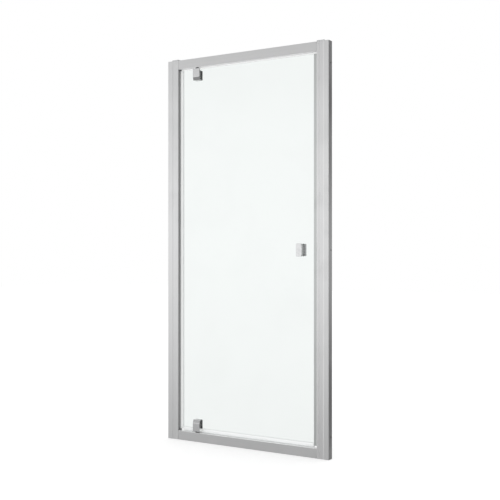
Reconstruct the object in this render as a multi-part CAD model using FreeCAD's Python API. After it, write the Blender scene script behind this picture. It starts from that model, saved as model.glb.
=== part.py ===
import FreeCAD, Part
import math
import os
from FreeCAD import Vector

# Pivot shower door for an opening between two walls, in millimetres.
#
# X runs along the opening from the hinge side to the strike side, Y from the outside into the
# shower and Z up. The origin is the middle of the bottom rail's underside. Depths are counted from
# the frame's front plane inwards, and reaches from each wall towards the middle of the opening.

# ---- frame -----------------------------------------------------------------------------------
frame_width = 900.0  # wall to wall
frame_height = 1900.0  # wall channels, and underside to top of the rails
frame_depth = 35.0

# Wall channels
channel_wall = 1.8
channel_web = 2.0
flange_width = 28.0
flange_lip = 6.0  # length of the rounded end of a flange
lip_edge = 0.6  # thickness left at the very end
wall_hole_radius = 4.0
wall_hole_back = 10.0  # hole centre to the channel's inner side
wall_hole_inset = 100.0  # first and last hole to the channel's ends

# Posts
post_reach = 62.0  # wall to the post's face in the opening
post_setback = 8.0  # wall to the post's hidden back: the adjustment that is left
post_slide = 0.2  # play in the channel
post_wall = 1.6
nosing_width = 12.0  # raised rounded edge along the opening
nosing_rise = 1.6
nosing_radius = 4.0
groove_width = 2.0  # shadow line beside the nosing
groove_depth = 0.8
stop_reach = 12.0  # lip behind the closed door
stop_play = 0.8

# Rails
rail_height = 45.0
rail_wall = 1.6
rail_edge_radius = 1.5
port_radius = 1.9  # screw ports
port_wall = 1.7
port_spacing = 22.0

# Post caps
cap_rise = 5.0  # above the wall channels
cap_seat = 2.0  # part of the cap that is level with the channel's end
cap_spigot = 5.0
cap_play = 0.3
cap_edge_radius = 0.8

# Corner screws and the screws that hold the posts in the channels
head_radius = 4.0
head_height = 2.6
corner_bite = 24.0  # length in the rail
fixing_radius = 1.9
fixing_reach = 16.0  # wall to screw
fixing_bite = 9.0
fixing_inset = 150.0
cover_wall = 1.0
cover_play = 0.2

# ---- door ------------------------------------------------------------------------------------
glass_thickness = 6.0
glass_cover = 7.0  # frame depth left behind the glass
glass_edge_radius = 0.8
hinge_gap = 4.0  # hinge post to glass
top_gap = 4.4  # head rail to glass
bottom_gap = 7.0  # bottom rail to glass

# Clear seals
seal_wall = 1.0
hinge_leg = 13.5
drip_leg = 12.0
fin_play = 0.6
front_fin_play = 3.0

# Closing-edge profile and magnets
profile_wall = 1.2
closing_leg = 14.5
strike_gap = 1.5  # closing-edge profile to strike post
magnet_width = 6.4
magnet_depth = 5.0
magnet_nose_width = 4.6
keeper_lip = 0.8
keeper_play = 0.2
strike_magnet_depth = 1.4
strike_nose = 0.5
end_play = 0.5

# Pivots
pivot_reach = 169.0  # wall to pivot axis
pin_radius = 4.0
pin_in_block = 20.0
pin_in_rail = 12.0
pin_chamfer = 0.8
running_play = 0.05
bush_radius = 8.0
bush_spigot_radius = 6.0
bush_floor = 3.0
bush_glass_gap = 1.0
bush_play = 0.3
anchor_width = 34.0
anchor_height = 18.0
anchor_play = 0.2

# Pivot blocks, outside, and clamp plates, inside
block_width = 40.0
block_height = 58.0
block_gap = 5.0  # block to rail
block_notch = 11.0  # height of the room for the bush behind the front plate
block_plate = 4.5
pocket_wall = 1.2  # plate left in front of the bush
bevel_height = 16.5
bevel_depth = 5.0
block_corner = 3.0
block_edge = 1.0
clamp_gasket = 1.0
clamp_plate = 5.0
clamp_spread = 23.0
clamp_screw_radius = 2.5
clamp_head_radius = 4.8
clamp_head_height = 2.3
clamp_bite = 9.0
socket_width = 3.0
screw_play = 0.1
sleeve_wall = 2.2
grub_length = 8.0

# Handle
handle_reach = 153.0  # strike-side wall to handle axis
handle_height = 950.0
knob_width = 30.0
knob_height = 60.0
knob_thickness = 21.0
knob_corner = 7.0
knob_edge = 1.5
handle_gasket = 1.5
stud_radius = 4.0
stud_bite = 12.0
stud_sleeve_wall = 2.8

# ---- places that follow from them --------------------------------------------------------------
half_width = frame_width / 2
half_depth = frame_depth / 2
hinge_face = -half_width + post_reach
strike_face = half_width - post_reach
sill = rail_height
lintel = frame_height - rail_height
post_front = channel_wall + post_slide
post_back = frame_depth - post_front
post_top = frame_height - cap_seat

glass_back = frame_depth - glass_cover
glass_front = glass_back - glass_thickness
glass_middle = (glass_front + glass_back) / 2
glass_left = hinge_face + hinge_gap
chamber_length = magnet_depth + 2 * keeper_play
closing_end = strike_face - strike_gap
glass_right = closing_end - keeper_lip - chamber_length - profile_wall
glass_bottom = sill + bottom_gap
glass_top = lintel - top_gap
closing_start = glass_right - closing_leg

pivot_x = -half_width + pivot_reach
pivot_depth = glass_front - bush_glass_gap - bush_radius
block_front = pivot_depth - bush_radius - bush_play - pocket_wall
block_back = glass_front - clamp_gasket
plate_back = block_front + block_plate
clamp_height = block_height - block_notch

handle_x = half_width - handle_reach
port_depth = pivot_depth + bush_spigot_radius + anchor_play + rail_wall + port_wall + port_radius
web_front = port_depth - port_radius - port_wall
wall_hole_heights = (wall_hole_inset, frame_height / 2, frame_height - wall_hole_inset)
fixing_heights = (fixing_inset, frame_height / 2, frame_height - fixing_inset)
rail_middles = (rail_height / 2, frame_height - rail_height / 2)

up = Vector(0, 0, 1)
right = Vector(1, 0, 0)
inward = Vector(0, 1, 0)


# ---- drawing helpers -----------------------------------------------------------------------------
def at(x, depth, z):
    """Point from its X, its depth behind the front plane and its height."""
    return Vector(x, depth - half_depth, z)


def corner_arc(before, corner, after, radius):
    """Start, middle and end of the arc that rounds one corner of an outline."""
    back = (before[0] - corner[0], before[1] - corner[1])
    ahead = (after[0] - corner[0], after[1] - corner[1])
    back_length = math.hypot(*back)
    ahead_length = math.hypot(*ahead)
    back = (back[0] / back_length, back[1] / back_length)
    ahead = (ahead[0] / ahead_length, ahead[1] / ahead_length)
    half_angle = math.acos(max(-1.0, min(1.0, back[0] * ahead[0] + back[1] * ahead[1]))) / 2
    tangent = min(radius / math.tan(half_angle), 0.48 * back_length, 0.48 * ahead_length)
    radius = tangent * math.tan(half_angle)
    middle = (back[0] + ahead[0], back[1] + ahead[1])
    middle_length = math.hypot(*middle)
    reach = (radius / math.sin(half_angle) - radius) / middle_length
    return (
        (corner[0] + back[0] * tangent, corner[1] + back[1] * tangent),
        (corner[0] + middle[0] * reach, corner[1] + middle[1] * reach),
        (corner[0] + ahead[0] * tangent, corner[1] + ahead[1] * tangent),
    )


def outline(corners, place):
    """Flat face inside corners (a, b) or (a, b, radius), put in space by place(a, b)."""
    stretches = []
    for i, corner in enumerate(corners):
        if len(corner) == 3 and corner[2] > 0:
            after = corners[(i + 1) % len(corners)]
            stretches.append(corner_arc(corners[i - 1][:2], corner[:2], after[:2], corner[2]))
        else:
            stretches.append((corner[:2],))
    edges = []
    for i, stretch in enumerate(stretches):
        points = [place(*point) for point in stretch]
        if len(points) == 3:
            edges.append(Part.Arc(*points).toShape())
        following = place(*stretches[(i + 1) % len(stretches)][0])
        edges.append(Part.makeLine(points[-1], following))
    return Part.Face(Part.Wire(edges))


def upright(corners, bottom, top):
    """Prism with a plan outline of (x, depth) corners."""
    face = outline(corners, lambda x, depth: at(x, depth, bottom))
    return face.extrude(up * (top - bottom))


def across(corners, left, right_end):
    """Prism along X with an outline of (depth, z) corners."""
    face = outline(corners, lambda depth, z: at(left, depth, z))
    return face.extrude(right * (right_end - left))


def through(corners, front, back):
    """Prism along the depth with an outline of (x, z) corners."""
    face = outline(corners, lambda x, z: at(x, front, z))
    return face.extrude(inward * (back - front))


def rectangle(a0, b0, a1, b1, radius=0.0):
    """Corners of a rectangle, all rounded alike."""
    return [(a0, b0, radius), (a1, b0, radius), (a1, b1, radius), (a0, b1, radius)]


def rod(radius, start, direction, length):
    """Cylinder from start along a direction."""
    return Part.makeCylinder(radius, length, start, direction)


def merged(shapes):
    """One shape of several that touch or overlap."""
    return shapes[0].fuse(shapes[1:]).removeSplitter()


def edges_in_plane(shape, depth):
    """Edges of a shape that lie wholly at one depth."""
    y = depth - half_depth
    found = []
    for edge in shape.Edges:
        box = edge.BoundBox
        if abs(box.YMin - y) < 0.001 and abs(box.YMax - y) < 0.001:
            found.append(edge)
    return found


def mirrored(shape):
    """The same shape on the other side of the opening."""
    return shape.mirror(Vector(0, 0, 0), right)


def turned_over(shape):
    """The same shape at the other end of the door, top for bottom."""
    return shape.mirror(Vector(0, 0, frame_height / 2), up)


def hexagon_pocket(centre, direction, width, depth):
    """Hexagonal pocket for a socket key, sunk from a head's face."""
    key = Part.makePolygon(
        [
            Vector(
                width / math.sqrt(3) * math.cos(math.radians(60 * i)),
                width / math.sqrt(3) * math.sin(math.radians(60 * i)),
                0,
            )
            for i in range(7)
        ]
    )
    pocket = Part.Face(key).extrude(up * depth)
    pocket.Placement = FreeCAD.Placement(centre, FreeCAD.Rotation(up, direction))
    return pocket


# ---- wall channels ---------------------------------------------------------------------------
def wall_channel():
    """U extrusion on the hinge-side wall, open towards the middle, with rounded flange ends."""
    wall = -half_width
    end = wall + flange_width
    turn = end - flange_lip / 2
    lip_drop = channel_wall - lip_edge
    lip_radius = flange_lip / 2 / math.tan(math.atan2(lip_drop, flange_lip / 2) / 2)
    section = [
        (wall, 0),
        (turn, 0, lip_radius),
        (end, lip_drop),
        (end, channel_wall),
        (wall + channel_web, channel_wall, 0.5),
        (wall + channel_web, frame_depth - channel_wall, 0.5),
        (end, frame_depth - channel_wall),
        (end, frame_depth - lip_drop),
        (turn, frame_depth, lip_radius),
        (wall, frame_depth),
    ]
    channel = upright(section, 0, frame_height)
    for z in wall_hole_heights:
        start = at(wall - 1, frame_depth - wall_hole_back, z)
        channel = channel.cut(rod(wall_hole_radius, start, right, channel_web + 2))
    for z in fixing_heights:
        start = at(wall + fixing_reach, frame_depth - channel_wall - 1, z)
        channel = channel.cut(rod(fixing_radius + screw_play, start, inward, channel_wall + 2))
    return channel


# ---- posts -----------------------------------------------------------------------------------
def post_outline():
    """Plan outline of a hinge-side post, with its groove and nosing on the front."""
    back_edge = -half_width + post_setback
    nosing_start = hinge_face - nosing_width
    groove_start = nosing_start - groove_width
    crest = post_front - nosing_rise
    return [
        (back_edge, post_front, 0.5),
        (groove_start, post_front),
        (groove_start + groove_width / 2, post_front + groove_depth),
        (nosing_start, post_front),
        (nosing_start + nosing_rise, crest, 2 * nosing_rise),
        (hinge_face, crest, nosing_radius),
        (hinge_face, post_back, 0.5),
        (back_edge, post_back, 0.5),
    ]


def post_chambers(pocket_floor):
    """Corners of the two hollow chambers of a post, the second stepped back behind a pocket."""
    first = -half_width + post_setback + post_wall
    division = -half_width + flange_width + 0.5
    last = hinge_face - post_wall
    front = post_front + groove_depth + post_wall
    back = post_back - post_wall
    hidden = rectangle(first, front, division, back, 0.5)
    if pocket_floor is None:
        return hidden, rectangle(division + post_wall, front, last, back, 0.5)
    step = pocket_floor - post_wall
    pocket_front, pocket_back = strike_pocket_depths()
    shown = [
        (division + post_wall, front, 0.5),
        (last, front, 0.5),
        (last, pocket_front - post_wall),
        (step, pocket_front - post_wall),
        (step, pocket_back + post_wall),
        (step, back, 0.5),
        (division + post_wall, back, 0.5),
    ]
    return hidden, shown


def strike_pocket_depths():
    """Front and back of the slot that keeps the strike post's magnet strip."""
    half = magnet_width / 2 + keeper_play
    return glass_middle - half, glass_middle + half


def drilled_post(post, seat):
    """Post with its access holes, its corner-screw holes and its channel-screw holes."""
    outside = -half_width + post_setback - 1
    for middle in rail_middles:
        for z in (middle - port_spacing / 2, middle + port_spacing / 2):
            access = rod(head_radius + 0.5, at(outside, port_depth, z), right, seat - outside)
            shank = rod(port_radius, at(seat - 1, port_depth, z), right, post_reach)
            post = post.cut(access).cut(shank)
    for z in fixing_heights:
        start = at(-half_width + fixing_reach, post_back - post_wall - 1, z)
        post = post.cut(rod(fixing_radius, start, inward, post_wall + 2))
    return post


def hinge_post():
    """Hollow post that slides in the hinge-side channel."""
    post = upright(post_outline(), 0, post_top)
    for chamber in post_chambers(None):
        post = post.cut(upright(chamber, -1, post_top + 1))
    return drilled_post(post, hinge_face - post_wall)


def strike_floor():
    """Reach of the magnet pocket's floor, drawn on the hinge side before mirroring."""
    return hinge_face - keeper_lip - strike_magnet_depth - keeper_play


def strike_post():
    """Post on the strike side: a stop lip behind the closed door and a slot for the magnet strip."""
    floor = strike_floor()
    pocket_front, pocket_back = strike_pocket_depths()
    nose = magnet_nose_width / 2 + keeper_play
    post = upright(post_outline(), 0, post_top)
    stop_front = glass_back + profile_wall + stop_play
    stop = [
        (hinge_face - post_wall, stop_front),
        (hinge_face + stop_reach, stop_front, 0.8),
        (hinge_face + stop_reach, post_back, 0.8),
        (hinge_face - post_wall, post_back),
    ]
    post = merged([post, upright(stop, sill, lintel)])
    for chamber in post_chambers(floor):
        post = post.cut(upright(chamber, -1, post_top + 1))
    slot = rectangle(floor, pocket_front, hinge_face - keeper_lip, pocket_back)
    mouth = rectangle(floor, glass_middle - nose, hinge_face + 1, glass_middle + nose)
    post = post.cut(upright(slot, -1, post_top + 1))
    post = post.cut(upright(mouth, -1, post_top + 1))
    return mirrored(drilled_post(post, floor - post_wall))


def strike_magnet_strip():
    """Magnet strip held by the strike post's slot, its nose towards the door."""
    base = hinge_face - keeper_lip - strike_magnet_depth
    neck = hinge_face - keeper_lip
    half = magnet_width / 2
    nose = magnet_nose_width / 2
    section = [
        (base, glass_middle - half, 0.3),
        (neck, glass_middle - half),
        (neck, glass_middle - nose),
        (hinge_face + strike_nose, glass_middle - nose, 0.3),
        (hinge_face + strike_nose, glass_middle + nose, 0.3),
        (neck, glass_middle + nose),
        (neck, glass_middle + half),
        (base, glass_middle + half, 0.3),
    ]
    return mirrored(upright(section, sill + end_play, lintel - end_play))


def post_cap(pocket_floor):
    """Cap on a hinge-side post: a low ledge inside the channel, a raised part beside it, spigots."""
    ledge = upright(post_outline(), post_top, frame_height)
    raised = upright(post_outline(), post_top, frame_height + cap_rise)
    step = -half_width + flange_width - flange_lip + 2
    hidden = upright(
        rectangle(-half_width, 0, step, frame_depth), post_top - 1, frame_height + cap_rise + 1
    )
    raised = raised.cut(hidden)
    top = frame_height + cap_rise
    rim = [edge for edge in raised.Edges if edge.BoundBox.ZMin > top - 0.001]
    raised = raised.makeFillet(min(cap_edge_radius, 0.4 * cap_rise), rim)
    spigots = []
    for chamber in post_chambers(pocket_floor):
        low_x = min(corner[0] for corner in chamber) + cap_play
        high_x = min(
            max(corner[0] for corner in chamber),
            hinge_face - post_wall if pocket_floor is None else pocket_floor - post_wall,
        )
        low_depth = min(corner[1] for corner in chamber) + cap_play
        high_depth = max(corner[1] for corner in chamber) - cap_play
        spigot = rectangle(low_x, low_depth, high_x - cap_play, high_depth, 0.5)
        spigots.append(upright(spigot, post_top - cap_spigot, post_top))
    return merged([ledge, raised] + spigots)


# ---- rails -----------------------------------------------------------------------------------
def bottom_rail():
    """Box extrusion between the posts with a middle web that carries two screw ports."""
    section = [
        (post_front, 0, 0.5),
        (post_front, rail_height, rail_edge_radius),
        (post_back, rail_height, rail_edge_radius),
        (post_back, 0, 0.5),
    ]
    rail = across(section, hinge_face, strike_face)
    web_back = web_front + rail_wall
    low, high = rail_wall, rail_height - rail_wall
    front = rectangle(post_front + rail_wall, low, web_front, high, 0.5)
    back = rectangle(web_back, low, post_back - rail_wall, high, 0.5)
    for chamber in (front, back):
        rail = rail.cut(across(chamber, hinge_face - 1, strike_face + 1))
    for z in (rail_middles[0] - port_spacing / 2, rail_middles[0] + port_spacing / 2):
        start = at(hinge_face, port_depth, z)
        boss = rod(port_radius + port_wall, start, right, strike_face - hinge_face)
        boss = boss.cut(
            upright(
                rectangle(hinge_face - 1, web_front - port_radius - port_wall, strike_face + 1, web_front),
                0,
                rail_height,
            )
        )
        port = rod(port_radius, at(hinge_face - 1, port_depth, z), right, frame_width)
        rail = merged([rail, boss]).cut(port)
    start = at(pivot_x, pivot_depth, rail_height - rail_wall - 1)
    return rail.cut(rod(bush_spigot_radius + screw_play, start, up, rail_wall + 2))


def corner_screws():
    """Two screws at each corner, from inside the posts into the rails' ports."""
    screws = []
    for seat, flip in ((hinge_face - post_wall, False), (strike_floor() - post_wall, True)):
        for middle in rail_middles:
            for z in (middle - port_spacing / 2, middle + port_spacing / 2):
                head = rod(head_radius, at(seat - head_height, port_depth, z), right, head_height)
                pocket = hexagon_pocket(
                    at(seat - head_height, port_depth, z), right, socket_width, head_height / 2
                )
                length = hinge_face - seat + corner_bite
                shank = rod(port_radius, at(seat, port_depth, z), right, length)
                screw = merged([head.cut(pocket), shank])
                screws.append(mirrored(screw) if flip else screw)
    return Part.makeCompound(screws)


def fixing_places():
    """Axes of the screws through the channels' inner flanges into the posts."""
    x = half_width - fixing_reach
    return [(side * x, z) for side in (-1, 1) for z in fixing_heights]


def post_fixing_screws():
    """Pan-head screws from the shower's side, three on each side."""
    screws = []
    for x, z in fixing_places():
        face = at(x, frame_depth, z)
        head = rod(head_radius, face, inward, head_height)
        rim = [edge for edge in head.Edges if edge.BoundBox.YMin > face.y + head_height - 0.001]
        head = head.makeFillet(0.4 * head_height, rim)
        shank = rod(fixing_radius, face, -inward, frame_depth - post_back + fixing_bite)
        screws.append(merged([head, shank]))
    return Part.makeCompound(screws)


def screw_covers():
    """Small domed covers that snap over the fixing screws' heads."""
    outer = head_radius + cover_play + cover_wall
    height = head_height + cover_play + cover_wall
    covers = []
    for x, z in fixing_places():
        face = at(x, frame_depth, z)
        cover = rod(outer, face, inward, height)
        rim = [edge for edge in cover.Edges if edge.BoundBox.YMin > face.y + height - 0.001]
        cover = cover.makeFillet(0.45 * height, rim)
        cover = cover.cut(rod(head_radius + cover_play, face, inward, head_height + cover_play))
        covers.append(cover)
    return Part.makeCompound(covers)


# ---- pivots ----------------------------------------------------------------------------------
def bottom_bush():
    """Plastic bush: a round head under the door's block and a blind spigot down into the rail."""
    head_length = block_gap + block_notch - bush_play
    spigot_length = pin_in_rail + end_play + bush_floor
    head = rod(bush_radius, at(pivot_x, pivot_depth, sill), up, head_length)
    spigot = rod(bush_spigot_radius, at(pivot_x, pivot_depth, sill), -up, spigot_length)
    bore_start = at(pivot_x, pivot_depth, sill - pin_in_rail - end_play)
    bore = rod(pin_radius + running_play, bore_start, up, frame_height)
    return merged([head, spigot]).cut(bore)


def bottom_anchor():
    """Block inside the rail's front chamber that backs the bush under the thin wall."""
    top = sill - rail_wall - anchor_play
    front = post_front + rail_wall + anchor_play
    back = web_front - anchor_play
    bottom = top - min(anchor_height, rail_height - 2 * rail_wall - 2 * anchor_play)
    half = anchor_width / 2
    anchor = upright(rectangle(pivot_x - half, front, pivot_x + half, back, 1.0), bottom, top)
    hole = rod(bush_spigot_radius + screw_play, at(pivot_x, pivot_depth, bottom - 1), up, frame_height)
    return anchor.cut(hole)


def bottom_pin():
    """Steel pin, fixed in the block and turning in the bush."""
    low = sill - pin_in_rail
    high = sill + block_gap + block_notch + pin_in_block
    pin = rod(pin_radius, at(pivot_x, pivot_depth, low), up, high - low)
    ends = [edge for edge in pin.Edges if edge.BoundBox.ZLength < 0.001]
    return pin.makeChamfer(min(pin_chamfer, 0.4 * pin_radius), ends)


def clamp_screw_places():
    """Axes of the two clamp screws of the bottom pivot."""
    z = sill + block_gap + block_notch + clamp_height / 2
    return [(pivot_x - clamp_spread / 2, z), (pivot_x + clamp_spread / 2, z)]


def bottom_block():
    """Outer pivot block: a front plate down to near the rail, a thick clamp behind it, a bevel."""
    foot = sill + block_gap
    seat = foot + block_notch
    top = foot + block_height
    left = pivot_x - block_width / 2
    right_side = pivot_x + block_width / 2
    side = [
        (block_front, foot, block_edge),
        (block_front, top - bevel_height, 2 * block_edge),
        (block_front + bevel_depth, top, block_edge),
        (block_back, top),
        (block_back, seat),
        (plate_back, seat),
        (plate_back, foot),
    ]
    front = [
        (left, foot, block_corner / 2),
        (right_side, foot, block_corner / 2),
        (right_side, top, block_corner),
        (left, top, block_corner),
    ]
    plan = [
        (left, block_front, block_edge),
        (right_side, block_front, block_edge),
        (right_side, block_back),
        (left, block_back),
    ]
    block = across(side, left, right_side)
    block = block.common(through(front, block_front, block_back))
    block = block.common(upright(plan, foot, top))
    room = rod(bush_radius + bush_play, at(pivot_x, pivot_depth, foot - 1), up, block_notch + 1)
    block = block.cut(room)
    block = block.cut(rod(pin_radius, at(pivot_x, pivot_depth, seat - 1), up, pin_in_block + 1))
    for x, z in clamp_screw_places():
        block = block.cut(rod(clamp_screw_radius, at(x, block_back, z), -inward, clamp_bite))
    grub = rod(clamp_screw_radius, at(left - 1, pivot_depth, seat + pin_in_block / 2), right,
               block_width / 2 + 1 - pin_radius / 2)
    return block.cut(grub.cut(rod(pin_radius, at(pivot_x, pivot_depth, seat), up, pin_in_block)))


def bottom_grub_screw():
    """Grub screw in the block's hinge side that locks the pin."""
    z = sill + block_gap + block_notch + pin_in_block / 2
    tip = pivot_x - pin_radius
    screw = rod(clamp_screw_radius, at(tip - grub_length, pivot_depth, z), right, grub_length)
    pocket = hexagon_pocket(at(tip - grub_length, pivot_depth, z), right, socket_width / 1.2, 2.0)
    return screw.cut(pocket)


def clamp_face(inset):
    """Elevation outline of the bottom clamp's face on the glass."""
    seat = sill + block_gap + block_notch
    half = block_width / 2 - inset
    return [
        (pivot_x - half, seat + inset, block_corner / 2),
        (pivot_x + half, seat + inset, block_corner / 2),
        (pivot_x + half, seat + clamp_height - inset, block_corner),
        (pivot_x - half, seat + clamp_height - inset, block_corner),
    ]


def bottom_gasket(front):
    """Soft pad between the glass and a clamp, with holes for the screws."""
    pad = through(clamp_face(0.5), front, front + clamp_gasket)
    for x, z in clamp_screw_places():
        hole = rod(clamp_screw_radius + 2 * screw_play, at(x, front - 1, z), inward, clamp_gasket + 2)
        pad = pad.cut(hole)
    return pad


def countersunk(x, z, face, play):
    """Screw with a conical head whose face lies at a depth, its shank towards the front."""
    length = face - block_back + clamp_bite
    head = Part.makeCone(
        clamp_head_radius + play,
        clamp_screw_radius + play,
        clamp_head_height,
        at(x, face, z),
        -inward,
    )
    shank = rod(clamp_screw_radius + play, at(x, face, z), -inward, length)
    return merged([head, shank])


def bottom_clamp_plate():
    """Inner clamp plate, rounded towards the shower, countersunk for the screws."""
    front = glass_back + clamp_gasket
    back = front + clamp_plate
    plate = through(clamp_face(0.0), front, back)
    plate = plate.makeFillet(min(block_edge, 0.4 * clamp_plate), edges_in_plane(plate, back))
    for x, z in clamp_screw_places():
        plate = plate.cut(countersunk(x, z, back, screw_play))
    return plate


def bottom_clamp_screws():
    """The two screws of the bottom clamp, with hexagonal sockets."""
    face = glass_back + clamp_gasket + clamp_plate
    screws = []
    for x, z in clamp_screw_places():
        pocket = hexagon_pocket(at(x, face, z), -inward, socket_width, clamp_head_height)
        screws.append(countersunk(x, z, face, 0.0).cut(pocket))
    return screws


def sleeve(x, z, inner, wall):
    """Plastic tube that keeps a screw off the glass."""
    start = at(x, glass_front, z)
    outer = rod(inner + wall, start, inward, glass_thickness)
    return outer.cut(rod(inner, start, inward, glass_thickness))


def bottom_clamp_sleeves():
    """The two sleeves in the glass behind the bottom block."""
    inner = clamp_screw_radius + screw_play
    return [sleeve(x, z, inner, sleeve_wall) for x, z in clamp_screw_places()]


def both_ends(solids):
    """A group of bottom solids together with their copies at the top."""
    return Part.makeCompound(solids + [turned_over(solid) for solid in solids])


# ---- glass and its seals ---------------------------------------------------------------------
def door_glass():
    """Pane with polished edges and holes for the clamps and the handle."""
    pane = through(
        rectangle(glass_left, glass_bottom, glass_right, glass_top), glass_front, glass_back
    )
    rims = edges_in_plane(pane, glass_front) + edges_in_plane(pane, glass_back)
    pane = pane.makeFillet(min(glass_edge_radius, 0.3 * glass_thickness), rims)
    clamp_hole = clamp_screw_radius + 2 * screw_play + sleeve_wall
    for x, z in clamp_screw_places():
        for height in (z, frame_height - z):
            start = at(x, glass_front - 1, height)
            pane = pane.cut(rod(clamp_hole, start, inward, glass_thickness + 2))
    handle_hole = stud_radius + 2 * screw_play + stud_sleeve_wall
    start = at(handle_x, glass_front - 1, handle_height)
    return pane.cut(rod(handle_hole, start, inward, glass_thickness + 2))


def hinge_edge_seal():
    """Clear clip on the hinge edge of the glass with two soft lips towards the post."""
    web = glass_left - seal_wall
    tip = hinge_face + fin_play
    leg = glass_left + hinge_leg
    lip = 1.2 * seal_wall
    front, back = glass_front - seal_wall, glass_back + seal_wall
    section = [
        (leg, front, 0.4),
        (web + lip, front),
        (tip, front - lip, 0.3),
        (tip, front + lip, 0.3),
        (web, front + 2 * lip),
        (web, back - 2 * lip),
        (tip, back - lip, 0.3),
        (tip, back, 0.3),
        (leg, back, 0.4),
        (leg, glass_back),
        (glass_left, glass_back),
        (glass_left, glass_front),
        (leg, glass_front),
    ]
    return upright(section, glass_bottom, glass_top)


def closing_edge_profile():
    """Aluminium profile on the closing edge: a clip on the glass and a chamber for the magnet."""
    front, back = glass_front - profile_wall, glass_back + profile_wall
    half = magnet_width / 2 + keeper_play
    nose = magnet_nose_width / 2 + keeper_play
    chamber = closing_end - keeper_lip
    outer = upright(
        [
            (closing_start, front, 0.5),
            (closing_end, front, 0.5),
            (closing_end, back, 0.5),
            (closing_start, back, 0.5),
        ],
        glass_bottom,
        glass_top,
    )
    for hollow in (
        rectangle(closing_start - 1, glass_front, glass_right, glass_back),
        rectangle(chamber - chamber_length, glass_middle - half, chamber, glass_middle + half),
        rectangle(chamber - 1, glass_middle - nose, closing_end + 1, glass_middle + nose),
    ):
        outer = outer.cut(upright(hollow, glass_bottom - 1, glass_top + 1))
    return outer


def door_magnet_strip():
    """Magnet strip in the closing-edge profile, its nose towards the strike post."""
    neck = closing_end - keeper_lip - keeper_play
    half = magnet_width / 2
    nose = magnet_nose_width / 2
    section = [
        (neck - magnet_depth, glass_middle - half, 0.3),
        (neck, glass_middle - half),
        (neck, glass_middle - nose),
        (closing_end + keeper_play, glass_middle - nose, 0.3),
        (closing_end + keeper_play, glass_middle + nose, 0.3),
        (neck, glass_middle + nose),
        (neck, glass_middle + half),
        (neck - magnet_depth, glass_middle + half, 0.3),
    ]
    return upright(section, glass_bottom + end_play, glass_top - end_play)


def drip_seal():
    """Clear clip under the glass with two soft fins, cut away round the bottom pivot block."""
    front, back = glass_front - seal_wall, glass_back + seal_wall
    top = glass_bottom + drip_leg
    base = glass_bottom - seal_wall
    fin = 1.4 * seal_wall
    section = [
        (front, top, 0.3),
        (front, sill + front_fin_play, 0.4),
        (front + fin, sill + front_fin_play, 0.4),
        (front + 2 * fin, base),
        (back - 2 * fin, base),
        (back - fin / 2, sill + fin_play, 0.4),
        (back + fin / 2, sill + fin_play, 0.4),
        (back, base),
        (back, top, 0.3),
        (glass_back, top),
        (glass_back, glass_bottom),
        (glass_front, glass_bottom),
        (glass_front, top),
    ]
    seal = across(section, glass_left + hinge_leg + end_play, closing_start - end_play)
    half = block_width / 2 + end_play
    notch = rectangle(pivot_x - half, 0, pivot_x + half, 2 * frame_depth)
    bush_room = rectangle(pivot_x - half, 0, pivot_x + half, glass_front)
    seal = seal.cut(upright(notch, glass_bottom, top + 1))
    return seal.cut(upright(bush_room, 0, top + 1))


# ---- handle ----------------------------------------------------------------------------------
def knob_face(inset):
    """Elevation outline of a knob."""
    half_x = knob_width / 2 - inset
    half_z = knob_height / 2 - inset
    corner = max(knob_corner - inset, 0.5)
    return rectangle(
        handle_x - half_x, handle_height - half_z, handle_x + half_x, handle_height + half_z, corner
    )


def knob(front, back, free_face):
    """Rectangular pull with rounded corners and a rounded rim on its free face."""
    body = through(knob_face(0.0), front, back)
    radius = min(knob_edge, 0.8 * knob_corner, 0.4 * knob_thickness)
    return body.makeFillet(radius, edges_in_plane(body, free_face))


def handle_outer():
    """Outer knob, tapped for the stud."""
    back = glass_front - handle_gasket
    front = back - knob_thickness
    pull = knob(front, back, front)
    return pull.cut(rod(stud_radius, at(handle_x, back, handle_height), -inward, stud_bite))


def handle_inner():
    """Inner knob, bored for the stud and tapped from below for a grub screw."""
    front = glass_back + handle_gasket
    back = front + knob_thickness
    pull = knob(front, back, back)
    pull = pull.cut(rod(stud_radius, at(handle_x, front, handle_height), inward, stud_bite))
    start = at(handle_x, front + stud_bite / 2, handle_height - knob_height / 2 - 1)
    hole = rod(clamp_screw_radius, start, up, knob_height / 2 + 1 - stud_radius)
    return pull.cut(hole)


def handle_grub_screw():
    """Grub screw that locks the inner knob on the stud."""
    depth = glass_back + handle_gasket + stud_bite / 2
    tip = handle_height - stud_radius
    screw = rod(clamp_screw_radius, at(handle_x, depth, tip - grub_length), up, grub_length)
    pocket = hexagon_pocket(at(handle_x, depth, tip - grub_length), up, socket_width / 1.2, 2.0)
    return screw.cut(pocket)


def handle_pad(front):
    """Gasket between a knob and the glass."""
    pad = through(knob_face(0.5), front, front + handle_gasket)
    start = at(handle_x, front - 1, handle_height)
    return pad.cut(rod(stud_radius + screw_play, start, inward, handle_gasket + 2))


def handle_stud():
    """Threaded stud through the glass that draws both knobs together."""
    start = glass_front - handle_gasket - stud_bite
    end = glass_back + handle_gasket + stud_bite
    stud = rod(stud_radius, at(handle_x, start, handle_height), inward, end - start)
    ends = [edge for edge in stud.Edges if edge.BoundBox.YLength < 0.001]
    return stud.makeChamfer(min(pin_chamfer, 0.4 * stud_radius), ends)


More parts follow.
